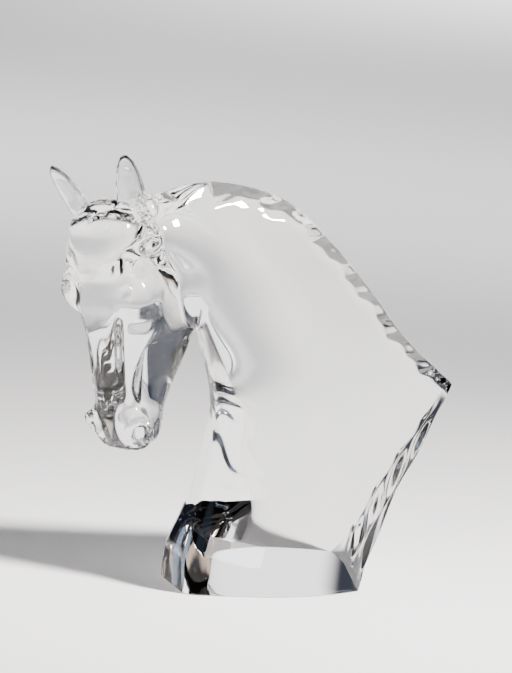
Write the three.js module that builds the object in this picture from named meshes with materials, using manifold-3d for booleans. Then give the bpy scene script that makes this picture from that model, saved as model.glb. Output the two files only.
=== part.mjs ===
// A horse's head and neck in clear crystal, one solid piece standing on its cut base.
// Millimetres, +Z up. The origin is the middle of the flat base, the horse looks towards -X
// and turns its head to its left, towards -Y.
import * as THREE from 'three';
import { LoftGeometry } from 'three/addons/geometries/LoftGeometry.js';
import { mergeVertices } from 'three/addons/utils/BufferGeometryUtils.js';
import Module from 'manifold-3d';

// Driving sizes
const height = 222;               // scale of the neck's outline, about the height to the ear tips
const headLength = 128;           // poll to lips, and the scale of the head's forms
const headYaw = 38;               // degrees that the head turns to its left
const headTuck = 10;              // degrees that the face leans back past upright
const spineThickness = 5.5;       // the crest's narrow outer edge
const crestThickness = 18;        // the neck just under the crest, where the bevel starts
const crestBevel = 9.5;           // depth of the bevel below the crest's outer edge
const sideFlare = 0.33;           // how fast each side widens, going away from the crest
const chestThickness = 50;        // the neck's front edge at the base
const throatThickness = 27;       // the neck's front edge at the throat
const frontSpread = 0.45;         // how fast each side widens, going back from the throat
const frontRound = 13;            // depth of the rounded front edge
const backCutFoot = 42;           // the back cut's bottom edge, behind the origin
const backCutTop = [102, 91];     // the back cut's top edge, behind and above the origin
const backCutHollow = 3.5;        // how far the back cut is hollowed
const neckTurn = 12;              // how far the poll stands out towards the horse's left
const nearEarLength = 38.5;       // root to tip
const farEarLength = 36;
const nearEarWidth = 20;
const farEarWidth = 24;
const earThickness = 12;

// Number of steps in the lofts
const neckSteps = 46;
const headSteps = 48;
const headRays = 46;
const earSteps = 11;
const earRays = 16;

const wasm = await Module();
wasm.setup();

const share = height / 100;
const headShare = headLength / 100;
const clamp01 = (v) => Math.min(1, Math.max(0, v));
const smooth = (from, to, v) => THREE.MathUtils.smoothstep((v - from) / (to - from), 0, 1);

// Outlines of the neck in the X-Z plane, in hundredths of the height
const crestKeys = [
    [-34, 83], [-28, 88.6], [-20.3, 90.9], [-8.1, 91.5], [8.4, 86.1],
    [23.4, 70.8], [36.6, 53.3], [47.5, 42.5], [85.6, 3.6], [98, -9],
];
const throatKeys = [
    [-19.3, -9], [-19.3, 0], [-18.5, 7.9], [-15.2, 16.4], [-10.7, 31.1],
    [-9.2, 41.8], [-12.3, 56.3], [-17.5, 66.7], [-23.4, 73.4], [-31, 77],
];
const outline = (keys) => new THREE.SplineCurve(
    keys.map(([x, z]) => new THREE.Vector2(x * share, z * share)));
const crest = outline(crestKeys);
const throat = outline(throatKeys);
const crestPoints = crest.getSpacedPoints(120);
const throatPoints = throat.getSpacedPoints(90);

// Distance from a point of the X-Z plane to an outline
function distanceTo(points, x, z) {
    let best = Infinity;
    for (let i = 1; i < points.length; i++) {
        const a = points[i - 1];
        const dx = points[i].x - a.x;
        const dz = points[i].y - a.y;
        const t = clamp01(((x - a.x) * dx + (z - a.y) * dz) / (dx * dx + dz * dz));
        best = Math.min(best, Math.hypot(x - a.x - t * dx, z - a.y - t * dz));
    }
    return best;
}

function softMin(a, b, k) {
    const h = Math.max(k - Math.abs(a - b), 0) / k;
    return Math.min(a, b) - h * h * k / 4;
}
const softMax = (a, b, k) => -softMin(-a, -b, k);

// Half the neck's thickness at a place of its outline
const throatRise = 45;            // hundredths of the height up to where the throat is thinnest
const frontBlend = 14;            // how softly the sides turn from the crest's slope to the throat's
const headFlare = 0.22;           // extra slope of the sides where the neck meets the head
const thinnest = 0.02;
function neckHalf(x, z) {
    const fromCrest = distanceTo(crestPoints, x, z);
    const fromThroat = distanceTo(throatPoints, x, z);
    const nearHead = smooth(-10 * share, -24 * share, x) * smooth(50 * share, 75 * share, z);
    const slope = sideFlare + headFlare * nearHead;
    const body = crestThickness / 2 - sideFlare * crestBevel + slope * fromCrest;
    const rise = clamp01(z / (throatRise * share));
    const front = THREE.MathUtils.lerp(chestThickness, throatThickness, rise * (2 - rise)) / 2;
    let half = softMin(body, front + frontSpread * fromThroat, frontBlend);
    const bevelRise = (crestThickness - spineThickness) / 2 / crestBevel;
    const bevel = spineThickness / 2 + bevelRise * fromCrest;
    const rounded = half * Math.sqrt(1 - (1 - clamp01(fromCrest / frontRound)) ** 2);
    half = THREE.MathUtils.lerp(Math.min(half, bevel), rounded, nearHead);
    const roundedFront = Math.sqrt(1 - (1 - clamp01(fromThroat / frontRound)) ** 2);
    return Math.max(half * roundedFront, thinnest);
}

// The neck's middle leans to the horse's left as it nears the poll
const neckMiddle = (x, z) =>
    -neckTurn * smooth(0, -32 * share, x) * smooth(45 * share, 82 * share, z);

// The bevel's inner edge on the line between the throat and the crest, as a share of the line
function bevelShare(front, rear) {
    let low = 0.5;
    let high = 1;
    for (let i = 0; i < 24; i++) {
        const mid = (low + high) / 2;
        const p = front.clone().lerp(rear, mid);
        if (distanceTo(crestPoints, p.x, p.y) > crestBevel) low = mid;
        else high = mid;
    }
    return low;
}

// Closed ring of points around one slice of the neck, from the throat to the crest
function neckRing(t) {
    const front = throat.getPointAt(t);
    const rear = crest.getPointAt(1 - t);
    const bevel = bevelShare(front, rear);
    const length = front.distanceTo(rear);
    const round = frontRound / length;
    const places = [0.02, 0.09, 0.22, 0.42, 0.7, 1].map((v) => v * round);
    for (let i = 1; i <= 9; i++) places.push(THREE.MathUtils.lerp(round, bevel, i / 9));
    places.push((1 + bevel) / 2, 1);
    const near = [];
    const far = [];
    for (const place of places) {
        const p = front.clone().lerp(rear, place);
        const half = neckHalf(p.x, p.y);
        const middle = neckMiddle(p.x, p.y);
        near.push(new THREE.Vector3(p.x, middle - half, p.y));
        far.push(new THREE.Vector3(p.x, middle + half, p.y));
    }
    return [...near, ...far.reverse()];
}

function neckBody() {
    const rings = [];
    for (let i = 0; i <= neckSteps; i++) rings.push(neckRing(i / neckSteps));
    return loft(rings);
}

// The head is shaped in its own axes, in hundredths of its length: x runs down the face from
// the poll, y comes out of the face and z goes to one side. Both sides are alike.
const headPlace = new THREE.Vector3(-43.2, -14.1, 89.4).multiplyScalar(share);
const yaw = THREE.MathUtils.degToRad(headYaw);
const tuck = THREE.MathUtils.degToRad(headTuck);
const facing = new THREE.Vector3(-Math.cos(yaw), -Math.sin(yaw), 0);
const upwards = new THREE.Vector3(0, 0, 1);
const downFace = upwards.clone().multiplyScalar(-Math.cos(tuck))
    .addScaledVector(facing, -Math.sin(tuck));
const outFace = facing.clone().multiplyScalar(Math.cos(tuck))
    .addScaledVector(upwards, -Math.sin(tuck));
const toSide = new THREE.Vector3(Math.sin(yaw), -Math.cos(yaw), 0);
const headAxes = () => new THREE.Matrix4().makeBasis(
    downFace, outFace, toSide).scale(new THREE.Vector3(headShare, headShare, headShare))
    .setPosition(headPlace);
const headToWorld = (p) => new THREE.Vector3(...p).applyMatrix4(headAxes());

// Half sections of the head at places down the face: x, then y of the middle of the face, then
// [y, z] of the face's edge, the hollow beside it, the cheekbone, the side behind the cheekbone,
// the upper and the lower side of the jaw, and last y of the middle of the jaw
const headSections = [
    [4, -12, [-12.8, 4], [-14.5, 6], [-17, 7], [-19.5, 6.6], [-22, 5.5], [-24.5, 3.5], -26],
    [9, -4.5, [-5.5, 5.6], [-8, 9], [-12, 11.2], [-16.5, 11.4], [-22, 10.5], [-28, 6.5], -31],
    [16, -0.5, [-2.2, 7.6], [-5.6, 12.4], [-10.2, 15.6], [-16.5, 16.6], [-23.5, 16.2], [-31, 12.5], -36],
    [24, 0.3, [-1.4, 8.6], [-4.6, 14.4], [-9, 17], [-16.5, 17.6], [-24, 17.6], [-32, 14.5], -38],
    [31, -0.6, [-1.8, 8.8], [-4.2, 15], [-8, 17.8], [-17, 18.2], [-25, 18.6], [-34, 16], -40],
    [38, -0.4, [-1.8, 8.2], [-4.8, 14.6], [-9.5, 20.2], [-18.5, 19.2], [-28, 19.2], [-38, 16.5], -43],
    [45, -0.3, [-1.9, 7], [-6.2, 10.6], [-12.6, 18.6], [-19.5, 18.8], [-28, 19.2], [-39, 17], -45],
    [53, -0.6, [-2.1, 5.9], [-6.6, 8.2], [-12, 15.6], [-20, 16.2], [-28, 18.8], [-40, 16.4], -47],
    [62, -0.8, [-2.2, 5.2], [-5.8, 7.2], [-9.4, 12.4], [-18.5, 9.6], [-28, 17], [-40, 15], -47],
    [72, -0.9, [-2.2, 4.9], [-4.4, 7.4], [-7, 10], [-17, 8], [-26.5, 13.6], [-36, 12], -41.5],
    [82, -0.9, [-2.1, 5], [-4, 7.6], [-7.2, 9.9], [-15.5, 8.6], [-23, 10.8], [-31.5, 8.5], -35.5],
    [89, -1.6, [-2, 6], [-3, 11.2], [-7.2, 15], [-14, 9.6], [-20.5, 10], [-27.5, 7], -31],
    [95, -3.2, [-3.4, 6.2], [-4.2, 10.4], [-8.8, 13.6], [-14.5, 9.6], [-20.5, 9], [-26.5, 6], -29.5],
    [99.6, -6, [-6.2, 4.8], [-7, 8], [-10, 9.6], [-15, 8.4], [-20.5, 7.4], [-25, 4.5], -27.5],
    [103, -9.8, [-10, 2.6], [-10.8, 4.4], [-12.6, 5.4], [-16, 5.2], [-19.5, 4.2], [-22, 2.6], -23.5],
].map(([x, face, ...rest]) => ({ x, values: [face, 0, ...rest.slice(0, -1).flat(), rest.at(-1), 0] }));
const sectionSpans = headSections[0].values.length / 2 - 1;
const pollPlace = headSections[0].x;
const lipPlace = headSections.at(-1).x;

// Slope of the section values from one section to the next, for a smooth curve through them all
const sectionSlopes = headSections.map((_, i) => {
    const before = headSections[Math.max(i - 1, 0)];
    const after = headSections[Math.min(i + 1, headSections.length - 1)];
    return after.values.map((v, j) => (v - before.values[j]) / (after.x - before.x));
});
function sectionAt(x) {
    let i = 0;
    while (i < headSections.length - 2 && headSections[i + 1].x < x) i++;
    const a = headSections[i];
    const b = headSections[i + 1];
    const h = b.x - a.x;
    const t = (x - a.x) / h;
    const values = a.values.map((v, j) => (1 + 2 * t) * (1 - t) ** 2 * v
        + t * (1 - t) ** 2 * h * sectionSlopes[i][j]
        + t * t * (3 - 2 * t) * b.values[j] + t * t * (t - 1) * h * sectionSlopes[i + 1][j]);
    const half = [];
    for (let j = 0; j < values.length; j += 2) half.push(new THREE.Vector2(values[j], values[j + 1]));
    const mirrored = (p) => new THREE.Vector2(p.x, -p.y);
    return new THREE.SplineCurve([mirrored(half[1]), ...half, mirrored(half.at(-2))]);
}

// Signed distance of an ellipsoid
function ellipsoid(p, c, r) {
    const x = (p[0] - c[0]) / r[0];
    const y = (p[1] - c[1]) / r[1];
    const z = (p[2] - c[2]) / r[2];
    const k = Math.hypot(x, y, z);
    const g = Math.hypot(x / r[0], y / r[1], z / r[2]);
    return g > 0 ? k * (k - 1) / g : -Math.min(...r);
}

// The forehead's dome, which ends in a ridge across the face, and the orbits round the eyes
const dome = { centre: [14.5, -14.2, 0], radii: [12.8, 14.6, 15.2], blend: 1.5 };
const orbit = { centre: [37.5, -10.5, 13.8], radii: [8.2, 7.6, 6.9], blend: 4 };
// The head's axis, which its rings are centred on, runs from the poll to the lips
const axisDepth = (x) => -18.5 + 4.3 * smooth(16, 2, x)
    - 5 * smooth(30, 55, x) * smooth(85, 60, x) + 5.5 * smooth(60, 95, x);
const pollRound = 5;              // how softly the sections end at the poll and at the lips
const lipRound = 4;
const headTop = dome.centre[0] - dome.radii[0] + 0.1;
const headEnd = lipPlace - 0.15;
const widest = 45;                // wider than any section, where the search for the surface starts
const searchSteps = 24;
const endCrowding = 0.4;          // 0 for even rings, 1 for rings that crowd towards both ends
function headRing(i) {
    const along = i / headSteps;
    const x = THREE.MathUtils.lerp(headTop, headEnd,
        THREE.MathUtils.lerp(along, (1 - Math.cos(Math.PI * along)) / 2, endCrowding));
    const middle = axisDepth(x);
    const section = sectionAt(THREE.MathUtils.clamp(x, pollPlace, lipPlace));
    const half = [];
    for (let j = 0; j <= headRays / 2; j++) {
        const p = section.getPoint((1 + sectionSpans * 2 * j / headRays) / (sectionSpans + 2));
        const base = Math.hypot(p.x - middle, p.y);
        const outwards = (r) => [x, middle + r * (p.x - middle) / base, r * p.y / base];
        let low = 0;
        let high = widest;
        for (let n = 0; n < searchSteps; n++) {
            const r = (low + high) / 2;
            let d = softMax(r - base, pollPlace - x, pollRound);
            d = softMax(d, x - lipPlace, lipRound);
            d = softMin(d, ellipsoid(outwards(r), dome.centre, dome.radii), dome.blend);
            d = softMin(d, ellipsoid(outwards(r), orbit.centre, orbit.radii), orbit.blend);
            if (d < 0) low = r;
            else high = r;
        }
        half.push(outwards(low));
    }
    const other = half.slice(1, -1).reverse().map(([down, out, side]) => [down, out, -side]);
    return [...half, ...other].map(headToWorld).reverse();
}
function headBody() {
    const rings = [];
    for (let i = 0; i <= headSteps; i++) rings.push(headRing(i));
    return loft(rings);
}

// A geometry drawn in the head's axes, as a solid in place. Those axes are left-handed, so its
// triangles are turned over.
function onHead(geometry) {
    return solid(geometry.applyMatrix4(headAxes()), true);
}

// Eyes, nostrils and the corners of the mouth: one side is 1 and the other -1
function headBall([x, y, z], radii, side) {
    const ball = new THREE.SphereGeometry(1, 13, 8).scale(...radii);
    return onHead(ball.translate(x, y, z * side));
}
const eyePlace = [33.6, -3, 14.6];
const eyeCorners = [[-2.2, -2.6], [-2.2, 3.2], [3.9, 0.2]];
const eyeDepth = 1.6;
const eyeLean = 0.72;             // radians that the eye leans from the side of the face to its front
function eyeHollow(side) {
    const corners = eyeCorners.map(([x, z]) => new THREE.Vector2(x, z * side));
    const opening = new THREE.ExtrudeGeometry(new THREE.Shape(corners),
        { depth: 2 * eyeDepth, bevelEnabled: false, steps: 1 });
    opening.translate(0, 0, -eyeDepth).rotateX(Math.PI / 2 + eyeLean * side);
    const [x, y, z] = eyePlace;
    return onHead(opening.translate(x, y, z * side));
}
const eyeball = (side) => headBall([34, -4.5, 13.7], [2.9, 2.5, 2.5], side);
const nostrilRim = (side) => headBall([92.2, -7, 10.4], [6.8, 5.6, 5.6], side);
const nostril = (side) => headBall([94, -3.4, 12.2], [5.2, 3.6, 4.2], side);
function mouth(side) {
    const front = new THREE.Vector3(104.5, -17.6, 6.6 * side);
    const corner = new THREE.Vector3(92, -19.4, 10.6 * side);
    const line = new THREE.LineCurve3(front, corner);
    const round = new THREE.Shape().absarc(0, 0, 1, 0, 2 * Math.PI);
    return onHead(new THREE.ExtrudeGeometry(round, { extrudePath: line, steps: 1, curveSegments: 4 }));
}

// The thick of the throat, which joins the jaw to the neck
const throatPlace = [-17.6, -2.3, 68];
const throatRadii = [7.2, 7.7, 9.9];
function throatLatch() {
    const ball = new THREE.SphereGeometry(share, 18, 12).rotateX(Math.PI / 2).scale(...throatRadii);
    return solid(ball.translate(...throatPlace.map((v) => v * share)));
}

// An ear is a leaf with a hollowed front, lofted from its root to its tip
function ear(root, tip, opening, length, broad) {
    const foot = headToWorld(root);
    const axis = headToWorld(tip).sub(foot).normalize();
    const front = headToWorld(opening).sub(headToWorld([0, 0, 0]));
    front.addScaledVector(axis, -front.dot(axis)).normalize();
    const across = new THREE.Vector3().crossVectors(axis, front);
    const rings = [];
    for (let i = 0; i <= earSteps; i++) {
        const t = i / earSteps;
        const leaf = Math.sqrt(1 - t) * (0.62 + 1.05 * t - 0.35 * t * t);
        const width = Math.max(broad / 2 * leaf, 0.5);
        const depth = Math.max(earThickness / 2 * leaf * (1 - 0.35 * t), 0.45);
        const scoop = 1.25 * smooth(0.05, 0.35, t) * smooth(1, 0.7, t);
        const ring = [];
        for (let j = 0; j < earRays; j++) {
            const angle = 2 * Math.PI * j / earRays;
            const side = Math.cos(angle);
            const face = Math.sin(angle);
            const hollow = face > 0 ? scoop * (1 - side * side) : 0;
            ring.push(foot.clone().addScaledVector(axis, t * length)
                .addScaledVector(across, width * side)
                .addScaledVector(front, depth * (face - hollow)));
        }
        rings.push(ring.reverse());
    }
    return loft(rings);
}

// A closed geometry as a solid that can be cut and joined
function solid(geometry, turnedOver = false) {
    const bare = new THREE.BufferGeometry();
    bare.setAttribute('position', geometry.getAttribute('position'));
    bare.setIndex(geometry.getIndex());
    const merged = mergeVertices(bare, 1e-4);
    const corners = merged.index.array;
    const triVerts = [];
    for (let i = 0; i < corners.length; i += 3) {
        const [a, b, c] = corners.slice(i, i + 3);
        if (a === b || b === c || c === a) continue;
        if (turnedOver) triVerts.push(a, c, b);
        else triVerts.push(a, b, c);
    }
    return new wasm.Manifold(new wasm.Mesh({
        numProp: 3,
        vertProperties: Float32Array.from(merged.attributes.position.array),
        triVerts: Uint32Array.from(triVerts),
    }));
}

// Rings skinned into a solid, each end drawn to the middle of its last ring
function loft(rings) {
    const closed = [rings[0], rings.at(-1)].map((ring) => {
        const middle = new THREE.Vector3();
        for (const p of ring) middle.addScaledVector(p, 1 / ring.length);
        return ring.map(() => middle);
    });
    return solid(new LoftGeometry([closed[0], ...rings, closed[1]]));
}

function geometryOf(body) {
    const mesh = body.getMesh();
    const geometry = new THREE.BufferGeometry();
    geometry.setAttribute('position', new THREE.BufferAttribute(mesh.vertProperties, 3));
    geometry.setIndex(new THREE.BufferAttribute(mesh.triVerts, 1));
    geometry.computeVertexNormals();
    return geometry;
}

// Everything below the flat base
function belowBase() {
    const size = 6 * height;
    return solid(new THREE.BoxGeometry(size, size, size).translate(0, 0, -size / 2));
}

// Everything behind the back cut, a shallow hollow whose axis runs across the horse
function behindBack() {
    const foot = new THREE.Vector2(backCutFoot, 0);
    const top = new THREE.Vector2(...backCutTop);
    const chord = top.clone().sub(foot);
    const radius = (chord.length() ** 2 / 4 + backCutHollow ** 2) / (2 * backCutHollow);
    const outward = new THREE.Vector2(chord.y, -chord.x).normalize();
    const centre = foot.clone().add(top).multiplyScalar(0.5)
        .addScaledVector(outward, radius - backCutHollow);
    return solid(new THREE.CylinderGeometry(radius, radius, 2 * height, 240)
        .translate(centre.x, 0, 0).translate(0, 0, centre.y));
}

function horseHead() {
    let body = neckBody().add(headBody()).add(throatLatch());
    body = body.add(ear([11, -19, 10], [-20, -11.5, 14], [0, 1, 0.35], nearEarLength, nearEarWidth));
    body = body.add(ear([11, -15, -10], [-13, -3.5, -14.6], [0.2, 1, -0.2], farEarLength, farEarWidth));
    for (const side of [1, -1]) {
        body = body.add(nostrilRim(side)).subtract(nostril(side));
        body = body.subtract(eyeHollow(side)).add(eyeball(side));
        body = body.subtract(mouth(side));
    }
    return body.subtract(belowBase()).subtract(behindBack());
}

const crystal = new THREE.MeshStandardMaterial({ color: 0xf2f5f6, roughness: 0.02, metalness: 0 });
const group = new THREE.Group();
const sculpture = new THREE.Mesh(geometryOf(horseHead()), crystal);
sculpture.name = 'horse_head';
group.add(sculpture);

export default group;
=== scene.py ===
# A horse's head and neck in clear crystal, standing on a pale floor in soft studio light.
# The frame's solid is refined here: the same neck and head forms, finer and blended, with the
# eyes, nostrils, ears and forelock carved in, then cut flat below and hollow behind.
import math
import bpy
import bmesh
import numpy as np
from mathutils import Matrix, Vector


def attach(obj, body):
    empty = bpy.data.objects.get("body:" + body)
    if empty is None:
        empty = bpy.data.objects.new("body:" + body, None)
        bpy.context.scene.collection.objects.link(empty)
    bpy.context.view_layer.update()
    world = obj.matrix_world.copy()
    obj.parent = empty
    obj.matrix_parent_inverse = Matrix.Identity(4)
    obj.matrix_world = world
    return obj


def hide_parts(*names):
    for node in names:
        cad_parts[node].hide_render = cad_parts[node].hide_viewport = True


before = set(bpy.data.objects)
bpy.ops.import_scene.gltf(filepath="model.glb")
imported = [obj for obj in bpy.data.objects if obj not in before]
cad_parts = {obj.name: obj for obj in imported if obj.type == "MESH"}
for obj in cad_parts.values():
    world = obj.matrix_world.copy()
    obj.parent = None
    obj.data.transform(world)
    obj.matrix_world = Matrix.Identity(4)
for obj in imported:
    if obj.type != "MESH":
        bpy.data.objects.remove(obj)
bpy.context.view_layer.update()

# Sizes of the sculpture, in millimetres as the carver measures them
MM = 0.001
HEIGHT = 222.0
HEAD_LENGTH = 128.0
HEAD_YAW = math.radians(38)
HEAD_TUCK = math.radians(10)
SPINE = 5.5
CREST = 18.0
CREST_BEVEL = 9.5
CREST_RIPPLE = 0.45           # polishing waves on the crest's bevel
SIDE_FLARE = 0.33
CHEST = 50.0
THROAT = 27.0
FRONT_SPREAD = 0.45
FRONT_ROUND = 8.0
FRONT_RIPPLE = 0.8            # waves on the throat's front edge
FRONT_BLEND = 14.0
HEAD_FLARE = 0.22
FORM_BLEND = 3.0              # how softly the neck, throat and head run together
BACK_CUT_FOOT = 42.0
BACK_CUT_TOP = (102.0, 91.0)
BACK_CUT_HOLLOW = 3.5
BACK_RIPPLE = 1.1             # polishing waves in the back cut
NECK_TURN = 12.0
NEAR_EAR = 38.5
FAR_EAR = 36.0
NEAR_EAR_WIDTH = 20.0
FAR_EAR_WIDTH = 24.0
EAR_THICKNESS = 12.0
LIP_ROUGHNESS = 0.35          # in hundredths of the head's length
SHARP_EDGE = math.radians(28)

SHARE = HEIGHT / 100
HEAD_SHARE = HEAD_LENGTH / 100
CREST_KEYS = [(-34, 83), (-28, 88.6), (-20.3, 90.9), (-8.1, 91.5), (8.4, 86.1),
              (23.4, 70.8), (36.6, 53.3), (47.5, 42.5), (85.6, 3.6), (98, -9)]
THROAT_KEYS = [(-19.3, -9), (-19.3, 0), (-18.5, 7.9), (-15.2, 16.4), (-10.7, 31.1),
               (-9.2, 41.8), (-12.3, 56.3), (-17.5, 66.7), (-23.4, 73.4), (-31, 77)]

# Fineness of the working surfaces
NECK_RINGS = 90
HEAD_RINGS = 90
HEAD_RAYS = 96
VOXEL = 1.1
LINE_POINTS = 321

# The base stands on small points, so a film of air stays under it, in metres
FLOOR = -0.0003


def smooth(low, high, v):
    t = np.clip((v - low) / (high - low), 0, 1)
    return t * t * (3 - 2 * t)


def soft_min(a, b, k):
    h = np.maximum(k - np.abs(a - b), 0) / k
    return np.minimum(a, b) - h * h * k / 4


def soft_max(a, b, k):
    return -soft_min(-a, -b, k)


def outline(keys, steps=40):
    """A smooth curve through the key points, which are in hundredths of the height."""
    p = np.array(keys, float) * SHARE
    p = np.vstack([2 * p[0] - p[1], p, 2 * p[-1] - p[-2]])
    points = []
    for i in range(1, len(p) - 2):
        for t in np.arange(steps) / steps:
            a, b, c, d = p[i - 1:i + 3]
            points.append(0.5 * (2 * b + (c - a) * t + (2 * a - 5 * b + 4 * c - d) * t * t
                                 + (3 * b - a - 3 * c + d) * t ** 3))
    points.append(p[-2])
    points = np.array(points)
    reach = np.concatenate([[0], np.cumsum(np.linalg.norm(np.diff(points, axis=0), axis=1))])
    even = np.linspace(0, reach[-1], LINE_POINTS)
    return np.column_stack([np.interp(even, reach, points[:, i]) for i in (0, 1)])


CREST_LINE = outline(CREST_KEYS)
THROAT_LINE = outline(THROAT_KEYS)


def side_of(line, x, z):
    """Distance to an outline, positive on its left as it runs."""
    hop = 8
    place = np.column_stack([x, z]).astype(float)
    knots = line[::hop]
    near = np.zeros(len(place), dtype=int)
    best = np.full(len(place), np.inf)
    for i, knot in enumerate(knots):
        gap = (place[:, 0] - knot[0]) ** 2 + (place[:, 1] - knot[1]) ** 2
        near = np.where(gap < best, i * hop, near)
        best = np.minimum(gap, best)
    found = near.copy()
    best = np.full(len(place), np.inf)
    for shift in range(-hop, hop + 1):
        at = np.clip(near + shift, 0, len(line) - 1)
        gap = ((place - line[at]) ** 2).sum(axis=1)
        found = np.where(gap < best, at, found)
        best = np.minimum(gap, best)
    result = np.full(len(place), np.inf)
    for start in (found - 1, found):
        start = np.clip(start, 0, len(line) - 2)
        a = line[start]
        d = line[start + 1] - a
        off = place - a
        t = np.clip((off * d).sum(axis=1) / (d * d).sum(axis=1), 0, 1)
        off = off - d * t[:, None]
        gap = np.hypot(off[:, 0], off[:, 1])
        side = np.sign(d[:, 0] * off[:, 1] - d[:, 1] * off[:, 0])
        result = np.where(gap < np.abs(result), gap * side, result)
    return result


def near_head(x, z):
    return smooth(-10 * SHARE, -24 * SHARE, x) * smooth(50 * SHARE, 75 * SHARE, z)


def neck_half(x, z, from_crest, from_throat):
    slope = SIDE_FLARE + HEAD_FLARE * near_head(x, z)
    body = CREST / 2 - SIDE_FLARE * CREST_BEVEL + slope * from_crest
    up = np.clip(z / (45 * SHARE), 0, 1)
    front = (CHEST + (THROAT - CHEST) * up * (2 - up)) / 2 + FRONT_RIPPLE * np.sin(0.105 * z + 0.6)
    half = soft_min(body, front + FRONT_SPREAD * from_throat, FRONT_BLEND)
    bevel = SPINE / 2 + (CREST - SPINE) / 2 / CREST_BEVEL * from_crest
    along = x - z
    bevel = bevel + CREST_RIPPLE * (np.sin(0.15 * along) + 0.6 * np.sin(0.34 * along + 0.3 * from_crest))
    return np.where(near_head(x, z) > 0.99, half, soft_min(half, bevel + 40 * near_head(x, z), 0.6))


def neck_middle(x, z):
    return -NECK_TURN * smooth(0, -32 * SHARE, x) * smooth(45 * SHARE, 82 * SHARE, z)


def neck_distance(p):
    x, y, z = p.T
    outside_crest = side_of(CREST_LINE, x, z)
    outside_throat = side_of(THROAT_LINE, x, z)
    half = neck_half(x, z, np.maximum(-outside_crest, 0), np.maximum(-outside_throat, 0))
    side = (np.abs(y - neck_middle(x, z)) - half) * 0.95
    d = soft_max(side, outside_throat, FRONT_ROUND)
    return soft_max(d, outside_crest, 1.2 + 11 * near_head(x, z))


# The head's own axes: down the face, out of the face, and to the horse's left
FACING = np.array([-math.cos(HEAD_YAW), -math.sin(HEAD_YAW), 0])
UP = np.array([0, 0, 1.0])
DOWN_FACE = -UP * math.cos(HEAD_TUCK) - FACING * math.sin(HEAD_TUCK)
OUT_FACE = FACING * math.cos(HEAD_TUCK) - UP * math.sin(HEAD_TUCK)
TO_SIDE = np.array([math.sin(HEAD_YAW), -math.cos(HEAD_YAW), 0])
HEAD_AXES = np.array([DOWN_FACE, OUT_FACE, TO_SIDE])
HEAD_PLACE = np.array([-43.2, -14.1, 89.4]) * SHARE


def head_to_world(p):
    return HEAD_PLACE + np.asarray(p, float) @ HEAD_AXES * HEAD_SHARE


def world_to_head(p):
    return (p - HEAD_PLACE) @ HEAD_AXES.T / HEAD_SHARE


def ellipsoid(p, centre, radii):
    q = (p - centre) / radii
    k = np.linalg.norm(q, axis=1)
    g = np.linalg.norm(q / radii, axis=1)
    return k * (k - 1) / np.maximum(g, 1e-6)


def taper(p, a, b, ra, rb):
    a, b = np.array(a, float), np.array(b, float)
    d = b - a
    t = np.clip((p - a) @ d / (d @ d), 0, 1)
    return np.linalg.norm(p - a - t[:, None] * d, axis=1) - ra - t * (rb - ra)


# Half sections of the head down the face: x, then y of the middle of the face, then (y, z) of the
# face's edge, the hollow beside it, the cheekbone, the side behind it, the upper and the lower
# side of the jaw, and last y of the middle of the jaw
HEAD_SECTIONS = [
    (4, -12, (-12.8, 4), (-14.5, 6), (-17, 7), (-19.5, 6.6), (-22, 5.5), (-24.5, 3.5), -26),
    (9, -4.5, (-5.5, 5.6), (-8, 9), (-12, 11.2), (-16.5, 11.4), (-22, 10.5), (-28, 6.5), -31),
    (16, -0.5, (-2.2, 7.6), (-5.6, 12.4), (-10.2, 15.6), (-16.5, 16.6), (-23.5, 16.2), (-31, 12.5), -36),
    (24, 0.3, (-1.4, 8.6), (-4.6, 14.4), (-9, 17), (-16.5, 17.6), (-24, 17.6), (-32, 14.5), -38),
    (31, -0.6, (-1.8, 8.8), (-4.2, 15), (-8, 17.8), (-17, 18.2), (-25, 18.6), (-34, 16), -40),
    (38, -0.4, (-1.8, 8.2), (-4.8, 14.6), (-9.5, 20.2), (-18.5, 19.2), (-28, 19.2), (-38, 16.5), -43),
    (45, -0.3, (-1.9, 7), (-6.2, 10.6), (-12.6, 18.6), (-19.5, 18.8), (-28, 19.2), (-39, 17), -45),
    (53, -0.6, (-2.1, 5.9), (-6.6, 8.2), (-12, 15.6), (-20, 16.2), (-28, 18.8), (-40, 16.4), -47),
    (62, -0.8, (-2.2, 5.2), (-5.8, 7.2), (-9.4, 12.4), (-18.5, 9.6), (-28, 17), (-40, 15), -47),
    (72, -0.9, (-2.2, 4.9), (-4.4, 7.4), (-7, 10), (-17, 8), (-26.5, 13.6), (-36, 12), -41.5),
    (82, -0.9, (-2.1, 5), (-4, 7.6), (-7.2, 9.9), (-15.5, 8.6), (-23, 10.8), (-31.5, 8.5), -35.5),
    (89, -1.6, (-2, 6), (-3, 11.2), (-7.2, 15), (-14, 9.6), (-20.5, 10), (-27.5, 7), -31),
    (95, -3.2, (-3.4, 6.2), (-4.2, 10.4), (-8.8, 13.6), (-14.5, 9.6), (-20.5, 9), (-26.5, 6), -29.5),
    (99.6, -6, (-6.2, 4.8), (-7, 8), (-10, 9.6), (-15, 8.4), (-20.5, 7.4), (-25, 4.5), -27.5),
    (103, -9.8, (-10, 2.6), (-10.8, 4.4), (-12.6, 5.4), (-16, 5.2), (-19.5, 4.2), (-22, 2.6), -23.5),
]
HEAD_TOP = HEAD_SECTIONS[0][0]
HEAD_END = HEAD_SECTIONS[-1][0]
STEP_X = 0.45
STEP_ANGLE = math.pi / 240


def axis_depth(x):
    return (-18.5 + 4.3 * smooth(16, 2, x) - 5 * smooth(30, 55, x) * smooth(85, 60, x)
            + 5.5 * smooth(60, 95, x))


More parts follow.
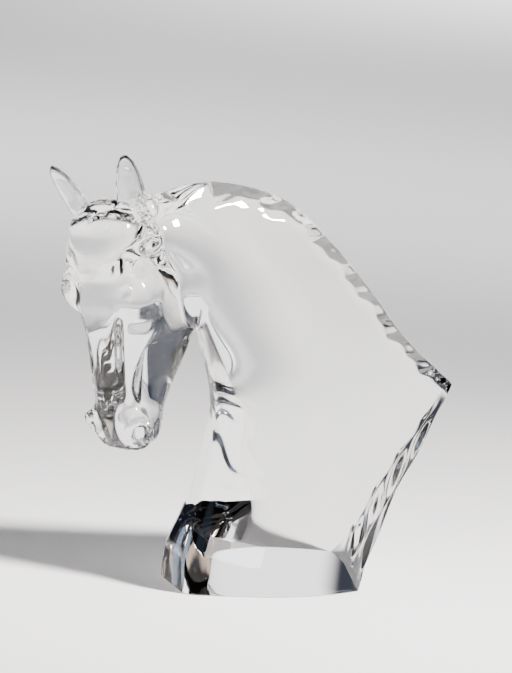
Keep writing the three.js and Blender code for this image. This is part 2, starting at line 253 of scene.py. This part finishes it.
def section_radii():
    """Radius of the head about its axis, down the face and from its front (0) to its back (pi)."""
    xs = np.array([row[0] for row in HEAD_SECTIONS], float)
    values = np.array([[row[1], 0, *np.ravel(row[2:8]), row[8], 0] for row in HEAD_SECTIONS], float)
    slopes = np.empty_like(values)
    slopes[1:-1] = (values[2:] - values[:-2]) / (xs[2:] - xs[:-2])[:, None]
    slopes[0] = (values[1] - values[0]) / (xs[1] - xs[0])
    slopes[-1] = (values[-1] - values[-2]) / (xs[-1] - xs[-2])
    angles = np.arange(0, math.pi + STEP_ANGLE / 2, STEP_ANGLE)
    rows = []
    t = np.linspace(0, 1, 100, endpoint=False)[:, None]
    for x in np.arange(HEAD_TOP, HEAD_END + 0.01, STEP_X):
        i = min(int(np.searchsorted(xs, x, side="right")) - 1, len(xs) - 2)
        h = xs[i + 1] - xs[i]
        u = (x - xs[i]) / h
        half = ((1 + 2 * u) * (1 - u) ** 2 * values[i] + u * (1 - u) ** 2 * h * slopes[i]
                + u * u * (3 - 2 * u) * values[i + 1] + u * u * (u - 1) * h * slopes[i + 1])
        half = half.reshape(-1, 2)
        half = np.vstack([half[1] * (1, -1), half, half[-2] * (1, -1)])
        points = [0.5 * (2 * b + (c - a) * t + (2 * a - 5 * b + 4 * c - d) * t * t
                         + (3 * b - a - 3 * c + d) * t ** 3)
                  for a, b, c, d in zip(half, half[1:], half[2:], half[3:])]
        points = np.vstack([*points, half[-2:-1]])
        y = points[:, 0] - axis_depth(x)
        at = np.arctan2(points[:, 1], y)
        order = np.argsort(at)
        rows.append(np.interp(angles, at[order], np.hypot(y, points[:, 1])[order]))
    table = np.array(rows)
    table = np.vstack([table[:1], table, table[-1:], table[-1:]])
    return np.hstack([table[:, 1:2], table, table[:, -2:-3:-1], table[:, -3:-4:-1]])


RADII = section_radii()


def head_radius(x, angle):
    """Cubic interpolation in the table of radii."""
    a = np.clip((x - HEAD_TOP) / STEP_X, 0, RADII.shape[0] - 4) + 1
    b = np.clip(angle / STEP_ANGLE, 0, RADII.shape[1] - 4) + 1
    i = np.minimum(a.astype(int), RADII.shape[0] - 3)
    j = np.minimum(b.astype(int), RADII.shape[1] - 3)

    def weights(t):
        return (((2 - t) * t - 1) * t / 2, ((3 * t - 5) * t * t + 2) / 2,
                ((4 - 3 * t) * t + 1) * t / 2, (t - 1) * t * t / 2)
    down = weights(a - i)
    round_ = weights(b - j)
    return sum(down[m] * sum(round_[n] * RADII[i + m - 1, j + n - 1] for n in range(4)) for m in range(4))


def section_distance(q):
    x, y, z = q.T
    at = np.clip(x, HEAD_TOP, HEAD_END)
    y = y - axis_depth(at)
    reach = np.maximum(np.hypot(y, z), 1e-3)
    angle = np.arctan2(np.abs(z), y)
    radius = head_radius(at, angle)
    lean = (head_radius(at + 0.3, angle) - head_radius(at - 0.3, angle)) / 0.6
    turn = (head_radius(at, np.minimum(angle + 0.02, math.pi))
            - head_radius(at, np.maximum(angle - 0.02, 0))) / 0.04 / np.maximum(radius, 2)
    d = (reach - radius) / np.sqrt(1 + np.minimum(lean ** 2, 9) + np.minimum(turn ** 2, 9))
    return soft_max(soft_max(d, HEAD_TOP - x, 5), x - HEAD_END, 4)


# An eye is a three-cornered opening, which lies across the side of the face
EYE_PLACE = np.array((33.6, -3.0, 14.6))
EYE_CORNERS = np.array([(-2.2, -2.6), (-2.2, 3.2), (3.9, 0.2)])
EYE_ACROSS = np.array((0, -0.66, 0.75))


def eye_opening(q):
    offset = q - EYE_PLACE
    place = np.column_stack([offset[:, 0], offset @ EYE_ACROSS])
    d = np.abs(offset @ np.array((0, 0.75, 0.66))) - 1.5
    for a, b in zip(EYE_CORNERS, np.roll(EYE_CORNERS, -1, axis=0)):
        along = (b - a) / np.linalg.norm(b - a)
        d = soft_max(d, (place[:, 1] - a[1]) * along[0] - (place[:, 0] - a[0]) * along[1], 0.3)
    return d


def head_distance(q):
    """The head in its own axes, alike on both sides."""
    q = np.column_stack([q[:, 0], q[:, 1], np.abs(q[:, 2])])
    d = section_distance(q)
    d = soft_min(d, ellipsoid(q, (14.5, -14.2, 0), (12.8, 14.6, 15.2)), 1.5)
    d = soft_min(d, ellipsoid(q, (37.5, -10.5, 13.8), (8.2, 7.6, 6.9)), 4)
    # Edge of the orbit behind the eye, and the fold of the lid above it
    d = soft_min(d, taper(q, (29, -14.5, 16.4), (37, -16.5, 18.2), 1.2, 1.6), 2.5)
    d = soft_min(d, taper(q, (37, -16.5, 18.2), (44, -13.5, 17.8), 1.6, 1.2), 2.5)
    d = soft_max(d, -taper(q, (28.6, -4.6, 15.6), (30.4, -9.5, 19.4), 0.1, 0.1), 1.6)
    d = soft_max(d, -eye_opening(q), 0.4)
    d = soft_min(d, ellipsoid(q, (34, -4.5, 13.7), (2.9, 2.5, 2.5)), 0.3)
    # Nostril with its rim, and the mouth
    rim = soft_max(np.abs(ellipsoid(q, (93.2, -4.6, 11.4), (6.6, 4.4, 5.6))) - 0.8, q[:, 0] - 95.5, 1.5)
    d = soft_min(d, np.maximum(rim, d - 0.7), 0.8)
    d = soft_max(d, -ellipsoid(q, (95.2, -4.6, 12.4), (6.6, 3.3, 4.3)), 0.6)
    d = soft_max(d, -taper(q, (104.5, -17.6, 6.6), (92, -19.4, 10.6), 1.0, 0.9), 0.6)
    # Lips left rough from the grinding
    x, y, z = q.T
    rough = np.sin(1.9 * x + 1.3 * y) * np.sin(2.2 * y - 0.7 * x + 1) * np.sin(2.0 * z + 0.5)
    return d + LIP_ROUGHNESS * rough * smooth(96.5, 98.5, x)


# The thick of the throat, which joins the jaw to the neck
THROAT_LATCH = ((-39, -5, 151), (16, 17, 22))


# The tuft of forelock at the foot of the near ear: its body, then strands from top to tip
TUFT = ((-60, -23.5, 194), (4.6, 5.5, 5.5))
STRANDS = [
    [((-56.3, -23.1, 198.5), 1.8), ((-58.2, -25.6, 191.8), 2.0), ((-66.6, -32.0, 189.0), 0.9)],
    [((-59.6, -24.2, 200.8), 1.6), ((-61.4, -27.0, 194.1), 1.9), ((-66.8, -32.2, 189.8), 0.9)],
    [((-64.4, -31.5, 201.3), 1.4), ((-64.9, -30.6, 195.3), 1.6), ((-67.3, -32.2, 190.4), 0.8)],
    [((-67.7, -32.0, 199.7), 1.2), ((-68.0, -31.2, 194.7), 1.3), ((-68.6, -32.4, 191.0), 0.8)],
]


def tuft_distance(p):
    near = np.linalg.norm(p - TUFT[0], axis=1) < 30
    d = np.full(len(p), 30.0)
    q = p[near]
    found = ellipsoid(q, *TUFT)
    for strand in STRANDS:
        for (a, ra), (b, rb) in zip(strand, strand[1:]):
            found = soft_min(found, taper(q, a, b, ra, rb), 0.4)
    d[near] = found
    return d


def sculpture_distance(p):
    d = soft_min(neck_distance(p), ellipsoid(p, *THROAT_LATCH), FORM_BLEND)
    d = soft_min(d, head_distance(world_to_head(p)) * HEAD_SHARE, FORM_BLEND)
    return soft_min(d, tuft_distance(p), 0.8)


def add_rings(bm, rings):
    """Skin rings of points into a closed tube with fanned ends."""
    count = len(rings[0])
    loop = bmesh.ops.create_circle(bm, cap_ends=False, segments=count, radius=1)["verts"]
    for v, p in zip(loop, rings[0]):
        v.co = p
    edges = list({e for v in loop for e in v.link_edges})
    caps = [edges]
    for ring in rings[1:]:
        made = bmesh.ops.extrude_edge_only(bm, edges=edges)["geom"]
        edges = [g for g in made if isinstance(g, bmesh.types.BMEdge)]
        order = [g for g in made if isinstance(g, bmesh.types.BMVert)]
        for v, p in zip(order, ring):
            v.co = p
    caps.append(edges)
    for cap in caps:
        bmesh.ops.contextual_create(bm, geom=cap)


def add_ball(bm, centre, radii, rings=24):
    bmesh.ops.create_uvsphere(bm, u_segments=2 * rings, v_segments=rings, radius=MM,
                              matrix=Matrix.LocRotScale(Vector(centre) * MM, None, Vector(radii)))


def neck_rings():
    rings = []
    rear_line = CREST_LINE[::-1]
    places = np.arange(LINE_POINTS)
    share = np.linspace(0.01, 0.995, 40)
    for t in np.linspace(0, 1, NECK_RINGS):
        i = t * (LINE_POINTS - 1)
        a = np.array([np.interp(i, places, THROAT_LINE[:, k]) for k in (0, 1)])
        b = np.array([np.interp(i, places, rear_line[:, k]) for k in (0, 1)])
        x, z = (a + (b - a) * share[:, None]).T
        from_throat = np.abs(side_of(THROAT_LINE, x, z))
        half = neck_half(x, z, np.abs(side_of(CREST_LINE, x, z)), from_throat)
        half *= np.sqrt(1 - (1 - np.clip(from_throat / FRONT_ROUND, 0.03, 1)) ** 2)
        middle = neck_middle(x, z)
        near = np.column_stack([x, middle - half, z])
        far = np.column_stack([x, middle + half, z])[::-1]
        rings.append(np.vstack([near, far]))
    return rings


def around_axis(x, reach, angles):
    return np.column_stack([np.full(len(angles), x), axis_depth(x) + reach * np.cos(angles),
                            reach * np.sin(angles)])


def head_rings():
    rings = []
    angles = np.linspace(0, 2 * math.pi, HEAD_RAYS, endpoint=False)
    for x in 2.0 + (HEAD_END - 2.2) * (1 - np.cos(np.linspace(0, math.pi, HEAD_RINGS))) / 2:
        low = np.zeros(HEAD_RAYS)
        high = np.full(HEAD_RAYS, 45.0)
        for _ in range(16):
            r = (low + high) / 2
            inside = head_distance(around_axis(x, r, angles)) < 0
            low = np.where(inside, r, low)
            high = np.where(inside, high, r)
        rings.append(head_to_world(around_axis(x, low, angles)))
    return rings


def ear_rings(root, tip, opening, length, broad):
    foot = head_to_world(root)
    axis = head_to_world(tip) - foot
    axis /= np.linalg.norm(axis)
    front = np.array(opening, float) @ HEAD_AXES
    front -= axis * (front @ axis)
    front /= np.linalg.norm(front)
    across = np.cross(axis, front)
    angles = np.linspace(0, 2 * math.pi, 64, endpoint=False)
    side = np.cos(angles)[:, None]
    face = np.sin(angles)[:, None]
    rings = []
    for t in 1 - (1 - np.linspace(0, 1, 60)) ** 1.3:
        leaf = math.sqrt(1 - t) * (0.62 + 1.05 * t - 0.35 * t * t)
        width = max(broad / 2 * leaf, 0.6)
        depth = max(EAR_THICKNESS / 2 * leaf * (1 - 0.35 * t), 0.55)
        scoop = 1.25 * smooth(0.05, 0.35, t) * smooth(1, 0.7, t)
        hollow = np.where(face > 0, scoop * (1 - side ** 2), 0)
        rings.append(foot + axis * t * length + across * width * side + front * depth * (face - hollow))
    return rings


def project(coords, rounds, share):
    """Draw points onto the sculpture's smooth surface, each by its share."""
    step = 0.05
    reach = 4.0
    for _ in range(rounds):
        d = sculpture_distance(coords)
        slope = np.column_stack([
            sculpture_distance(coords + step * axis) - sculpture_distance(coords - step * axis)
            for axis in np.eye(3)]) / (2 * step)
        move = (d / np.maximum((slope ** 2).sum(axis=1), 0.2) * share)[:, None] * slope
        size = np.linalg.norm(move, axis=1, keepdims=True)
        coords = coords - move * np.minimum(1, reach / np.maximum(size, 1e-9))
    return coords


def mesh_coords(mesh):
    coords = np.empty(len(mesh.vertices) * 3)
    mesh.vertices.foreach_get("co", coords)
    return coords.reshape(-1, 3)


def relax(mesh, coords, rounds, weight):
    """Even out the mesh along the surface."""
    edges = np.empty(len(mesh.edges) * 2, dtype=int)
    mesh.edges.foreach_get("vertices", edges)
    a, b = edges.reshape(-1, 2).T
    degree = np.bincount(a, minlength=len(coords)) + np.bincount(b, minlength=len(coords))
    for _ in range(rounds):
        total = np.zeros_like(coords)
        for k in range(3):
            total[:, k] = (np.bincount(a, coords[b, k], len(coords))
                           + np.bincount(b, coords[a, k], len(coords)))
        coords = coords + weight[:, None] * (total / degree[:, None] - coords)
    return coords


def apply_modifier(obj, modifier):
    with bpy.context.temp_override(object=obj, active_object=obj, selected_objects=[obj]):
        bpy.ops.object.modifier_apply(modifier=modifier.name)


def new_object(name, bm):
    mesh = bpy.data.meshes.new(name)
    bm.to_mesh(mesh)
    bm.free()
    obj = bpy.data.objects.new(name, mesh)
    bpy.context.scene.collection.objects.link(obj)
    return obj


# The block that cuts the back: half its width, and how far it reaches behind the cut
BLOCK_HALF = 60.0
BLOCK_DEPTH = HEIGHT * 1.3


def back_cutter():
    """A block whose face is the hollow of the back cut, with the ripples left by polishing it."""
    foot = np.array([BACK_CUT_FOOT, 0])
    chord = np.array(BACK_CUT_TOP) - foot
    outward = np.array([chord[1], -chord[0]]) / np.linalg.norm(chord)
    y = np.linspace(-BLOCK_HALF, BLOCK_HALF, 70)
    bm = bmesh.new()
    rings = []
    for t in np.linspace(-0.3, 1.3, 110):
        fade = smooth(0.02, 0.15, t) * smooth(0.98, 0.8, t)
        ripple = (np.sin(y * 0.19 + 7 * t) + 0.6 * np.sin(y * 0.33 - 17 * t + 1)
                  + 0.4 * np.sin(9 * t + y * 0.1))
        depth = -4 * BACK_CUT_HOLLOW * t * (1 - t) + BACK_RIPPLE * fade * ripple
        x, z = (foot + chord * t + outward * depth[:, None]).T
        face = np.column_stack([x, y, z])
        rear = np.array([[x[-1], BLOCK_HALF, z[-1]], [x[0], -BLOCK_HALF, z[0]]])
        rear = rear + np.array([outward[0], 0, outward[1]]) * BLOCK_DEPTH
        rings.append(np.vstack([face, rear]) * MM)
    add_rings(bm, rings)
    bmesh.ops.recalc_face_normals(bm, faces=bm.faces)
    return new_object("back_cutter", bm)


def base_cutter():
    size = 3 * HEIGHT * MM
    bm = bmesh.new()
    bmesh.ops.create_cube(bm, size=size, matrix=Matrix.Translation((0, 0, -size / 2)))
    return new_object("base_cutter", bm)


def carve_sculpture():
    bm = bmesh.new()
    add_rings(bm, [ring * MM for ring in neck_rings()])
    add_rings(bm, [ring * MM for ring in head_rings()])
    near_ear = ear_rings((11, -19, 10), (-20, -11.5, 14), (0, 1, 0.35), NEAR_EAR, NEAR_EAR_WIDTH)
    far_ear = ear_rings((11, -15, -10), (-13, -3.5, -14.6), (0.2, 1, -0.2), FAR_EAR, FAR_EAR_WIDTH)
    add_rings(bm, [ring * MM for ring in near_ear])
    add_rings(bm, [ring * MM for ring in far_ear])
    add_ball(bm, *THROAT_LATCH)
    add_ball(bm, *TUFT)
    for strand in STRANDS:
        for (a, ra), (b, rb) in zip(strand, strand[1:]):
            for t in np.linspace(0, 1, 8):
                radius = ra + (rb - ra) * t
                place = np.array(a) + (np.array(b) - np.array(a)) * t
                add_ball(bm, place, (radius, radius, radius), 8)
    bmesh.ops.recalc_face_normals(bm, faces=bm.faces)
    obj = new_object("crystal_horse_head", bm)
    remesh = obj.modifiers.new("voxels", "REMESH")
    remesh.mode = "VOXEL"
    remesh.voxel_size = VOXEL * MM
    remesh.use_smooth_shade = True
    apply_modifier(obj, remesh)
    coords = mesh_coords(obj.data) / MM
    # The ears stand out of the smooth surface, so they are only evened out a little
    share = 1 - smooth(1.2, 3.5, sculpture_distance(coords))
    coords = project(coords, 3, share)
    coords = relax(obj.data, coords, 4, 0.25 + 0.25 * share)
    coords = project(coords, 2, share)
    coords = relax(obj.data, coords, 2, 0.3 * share)
    coords = project(coords, 2, share)
    obj.data.vertices.foreach_set("co", (coords * MM).ravel())
    obj.data.update()
    for cutter in (base_cutter(), back_cutter()):
        cut = obj.modifiers.new("cut", "BOOLEAN")
        cut.operation = "DIFFERENCE"
        cut.solver = "MANIFOLD"
        cut.object = cutter
        apply_modifier(obj, cut)
        bpy.data.objects.remove(cutter)
    obj.data.shade_smooth()
    obj.data.set_sharp_from_angle(angle=SHARP_EDGE)
    return obj


def crystal():
    mat = bpy.data.materials.new("crystal")
    mat.use_nodes = True
    shader = mat.node_tree.nodes["Principled BSDF"]
    shader.inputs["Base Color"].default_value = (0.985, 0.99, 0.99, 1)
    shader.inputs["Roughness"].default_value = 0.0
    shader.inputs["IOR"].default_value = 1.54
    shader.inputs["Transmission Weight"].default_value = 1.0
    return mat


def pale_floor():
    bm = bmesh.new()
    bmesh.ops.create_circle(bm, cap_ends=True, segments=96, radius=6,
                            matrix=Matrix.Translation((0, 0, FLOOR)))
    floor = new_object("floor", bm)
    mat = bpy.data.materials.new("pale floor")
    mat.use_nodes = True
    shader = mat.node_tree.nodes["Principled BSDF"]
    shader.inputs["Base Color"].default_value = (0.9, 0.875, 0.865, 1)
    shader.inputs["Roughness"].default_value = 0.6
    shader.inputs["Specular IOR Level"].default_value = 0.2
    floor.data.materials.append(mat)


# Surroundings: the room's colour, then patches of it by azimuth, elevation and the cosines that they
# fade between; and the lamps with their place, aim, size, power, spread in degrees and colour
ROOM = (0.055, 0.05, 0.048)
SURROUNDINGS = [
    ((112, 10, 0.75, 0.95), (0.04, 0.05, 0.08)),
    ((-150, 35, 0.90, 0.97), (0.35, 0.45, 0.62)),
    ((-60, 22, 0.93, 0.98), (1.1, 0.88, 0.7)),
    ((57, 2, 0.85, 0.90), (2.4, 2.4, 2.5)),
]
LAMPS = [
    ("key", (1.3, -1.3, 1.22), (-0.03, -0.05, 0.05), (0.3, 0.3), 12, 34, (1, 0.99, 0.97)),
    ("strip", (0.36, 1.35, 1.7), (0.4, 1.3, 0), (0.5, 2.4), 11, 62, (1, 1, 1)),
    ("far right", (2.6, 3.2, 1.1), (1.7, 2.9, 0), (1.0, 1.0), 34, 75, (0.97, 0.98, 1)),
    ("front", (-0.9, -1.6, 1.3), (0, -0.2, 0), (0.25, 0.5), 2.5, 120, (1, 0.92, 0.87)),
]


def area_light(name, place, target, size, power, spread, colour):
    data = bpy.data.lights.new(name, "AREA")
    data.shape = "RECTANGLE"
    data.size, data.size_y = size
    data.energy = power
    data.spread = math.radians(spread)
    data.color = colour
    obj = bpy.data.objects.new(name, data)
    obj.location = place
    obj.rotation_euler = (Vector(target) - Vector(place)).to_track_quat("-Z", "Y").to_euler()
    bpy.context.scene.collection.objects.link(obj)


def studio():
    """White behind on the camera's right, dim and cool elsewhere, with soft lights above."""
    world = bpy.context.scene.world or bpy.data.worlds.new("studio")
    bpy.context.scene.world = world
    world.use_nodes = True
    nodes = world.node_tree.nodes
    links = world.node_tree.links
    place = nodes.new("ShaderNodeTexCoord")

    def towards(azimuth, elevation, low, high):
        """1 near a direction and 0 away from it, between two cosines."""
        azimuth, elevation = math.radians(azimuth), math.radians(elevation)
        dot = nodes.new("ShaderNodeVectorMath")
        dot.operation = "DOT_PRODUCT"
        links.new(place.outputs["Generated"], dot.inputs[0])
        dot.inputs[1].default_value = (math.cos(azimuth) * math.cos(elevation),
                                       math.sin(azimuth) * math.cos(elevation), math.sin(elevation))
        fade = nodes.new("ShaderNodeMapRange")
        fade.interpolation_type = "SMOOTHSTEP"
        links.new(dot.outputs["Value"], fade.inputs["Value"])
        fade.inputs["From Min"].default_value = low
        fade.inputs["From Max"].default_value = high
        return fade.outputs[0]

    colour = None
    for patch, tint in SURROUNDINGS:
        mix = nodes.new("ShaderNodeMix")
        mix.data_type = "RGBA"
        links.new(towards(*patch), mix.inputs["Factor"])
        if colour is None:
            mix.inputs["A"].default_value = (*ROOM, 1)
        else:
            links.new(colour, mix.inputs["A"])
        mix.inputs["B"].default_value = (*tint, 1)
        colour = mix.outputs["Result"]
    links.new(colour, nodes["Background"].inputs["Color"])
    for lamp in LAMPS:
        area_light(*lamp)


def photo_camera():
    azimuth, elevation = math.radians(-17), math.radians(10)
    distance, pixels_per_mm = 2.2, 2.0
    right = Vector((math.cos(azimuth), math.sin(azimuth), 0))
    back = Vector((math.sin(azimuth) * math.cos(elevation), -math.cos(azimuth) * math.cos(elevation),
                   math.sin(elevation)))
    up = back.cross(right)
    data = bpy.data.cameras.new("photo view")
    data.sensor_fit = "VERTICAL"
    data.sensor_height = 36
    data.lens = 36 * distance / (673 / pixels_per_mm * MM)
    camera = bpy.data.objects.new("photo view", data)
    depth_of_object = 0.025
    centre = Vector((0.005, 0, 0)) + right * -0.003 + up * 0.12175
    camera.location = centre + back * (distance + depth_of_object)
    camera.rotation_euler = Matrix((right, up, back)).transposed().to_euler()
    data.clip_end = 50
    bpy.context.scene.collection.objects.link(camera)
    bpy.context.scene.camera = camera


photo_camera()
studio()
pale_floor()
head = carve_sculpture()
head.data.materials.clear()
head.data.materials.append(crystal())
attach(head, "root")
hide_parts("horse_head")
